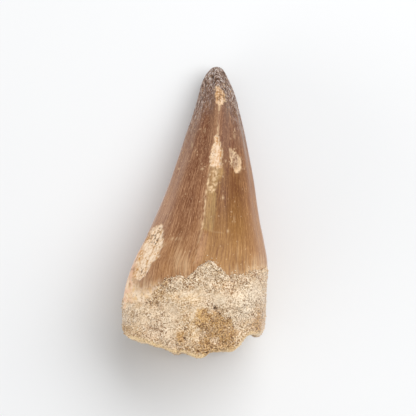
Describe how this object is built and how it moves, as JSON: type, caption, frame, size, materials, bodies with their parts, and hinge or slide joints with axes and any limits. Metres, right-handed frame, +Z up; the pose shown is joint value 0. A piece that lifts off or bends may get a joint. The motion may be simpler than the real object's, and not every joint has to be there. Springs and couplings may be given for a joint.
{
  "type": "fossil mosasaur tooth",
  "caption": "Curved conical fossil reptile tooth with a ridged, chipped brown enamel crown, its root still set in pale sandy rock. A display specimen that lies on its back.",
  "frame": {"origin": "middle of the footprint, on the surface that the tooth rests on", "axes": "+Y from the broken base to the tip, +Z up out of the face that shows, +X to the right of someone who looks down on it with the tip away from them"},
  "size_m": [0.0296, 0.0584, 0.0226],
  "materials": {
    "enamel": "satin",
    "sandy_rock": "matte"
  },
  "bodies": {
    "root": {"tooth": "enamel", "rock_matrix": "sandy_rock"}
  },
  "joints": []
}
